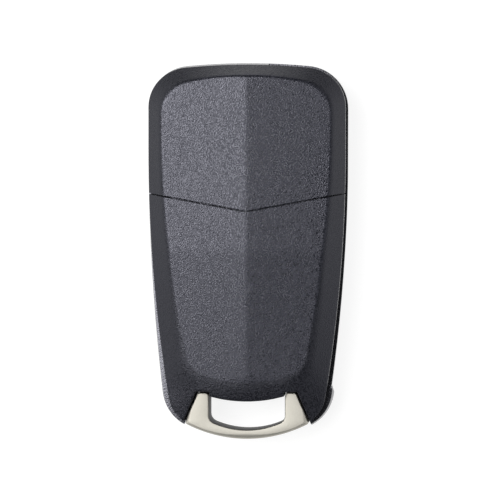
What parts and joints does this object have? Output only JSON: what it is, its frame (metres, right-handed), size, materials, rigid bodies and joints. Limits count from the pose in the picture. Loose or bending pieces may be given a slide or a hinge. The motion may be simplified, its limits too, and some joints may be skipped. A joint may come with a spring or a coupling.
{
  "type": "flip key remote shell",
  "caption": "Folding car key remote with a faceted back, a flip-out blade, a release button, lock and unlock buttons and a cast key-ring loop.",
  "frame": {"origin": "middle of the overall box in X and Y, at the height of the flat button face that it lies on", "axes": "+X to the side of the folded blade, +Y to the head end, +Z out of the back"},
  "size_m": [0.0402, 0.075, 0.016],
  "materials": {
    "shell_black": "spark-textured black ABS",
    "button_black": "soft black elastomer",
    "release_black": "satin black ABS",
    "bail_silver": "satin nickel on zinc casting",
    "hub_zinc": "as-cast zinc alloy",
    "blade_nickel": "milled nickel silver",
    "spring_steel": "bright spring wire",
    "pin_steel": "ground steel",
    "screw_black": "black oxide",
    "mat_grey": "translucent grey silicone",
    "board_green": "green solder resist on glass epoxy",
    "switch_steel": "stamped steel cover",
    "chip_black": "moulded epoxy",
    "ferrite": "ferrite with a wound coil",
    "can_steel": "drawn steel can",
    "cell_steel": "nickel-plated steel can",
    "contact_gold": "gold-flashed spring bronze"
  },
  "bodies": {
    "shell": {"front_housing": "shell_black", "head_cover": "shell_black", "keyring_bail": "bail_silver", "bail_pin_left": "pin_steel", "bail_pin_right": "pin_steel", "flip_spring": "spring_steel", "button_mat": "mat_grey", "circuit_board": "board_green", "unlock_switch": "switch_steel", "lock_switch": "switch_steel", "battery_cell": "cell_steel", "battery_contact": "contact_gold", "battery_clips": "contact_gold", "control_chip": "chip_black", "immobiliser_coil": "ferrite", "crystal": "can_steel", "head_cover_screws": "screw_black"},
    "blade": {"blade_hub": "hub_zinc", "key_blade": "blade_nickel", "blade_pin": "pin_steel", "release_spring": "spring_steel"},
    "release": {"release_button": "release_black"},
    "unlock": {"unlock_button": "button_black"},
    "lock": {"lock_button": "button_black"},
    "back": {"battery_cover": "shell_black"}
  },
  "joints": [
    {"name": "blade_flip", "type": "hinge", "parent": "shell", "child": "blade", "pos_m": [0.0116, 0.024, 0], "axis": [0, 0, 1], "range_deg": [0, 183.5], "deforming": ["flip_spring"]},
    {"name": "release_press", "type": "slide", "parent": "blade", "child": "release", "axis": [0, 0, 1], "range_m": [0, 0.0015], "stiffness_N_per_m": 500, "springref_m": -0.002, "deforming": ["release_spring"]},
    {"name": "unlock_press", "type": "slide", "parent": "shell", "child": "unlock", "axis": [0, 0, 1], "range_m": [0, 0.0005], "stiffness_N_per_m": 500, "springref_m": -0.002},
    {"name": "lock_press", "type": "slide", "parent": "shell", "child": "lock", "axis": [0, 0, 1], "range_m": [0, 0.0005], "stiffness_N_per_m": 500, "springref_m": -0.002},
    {"name": "battery_cover_lift", "type": "slide", "parent": "shell", "child": "back", "axis": [0, 0, 1], "range_m": [0, 0.012]}
  ]
}
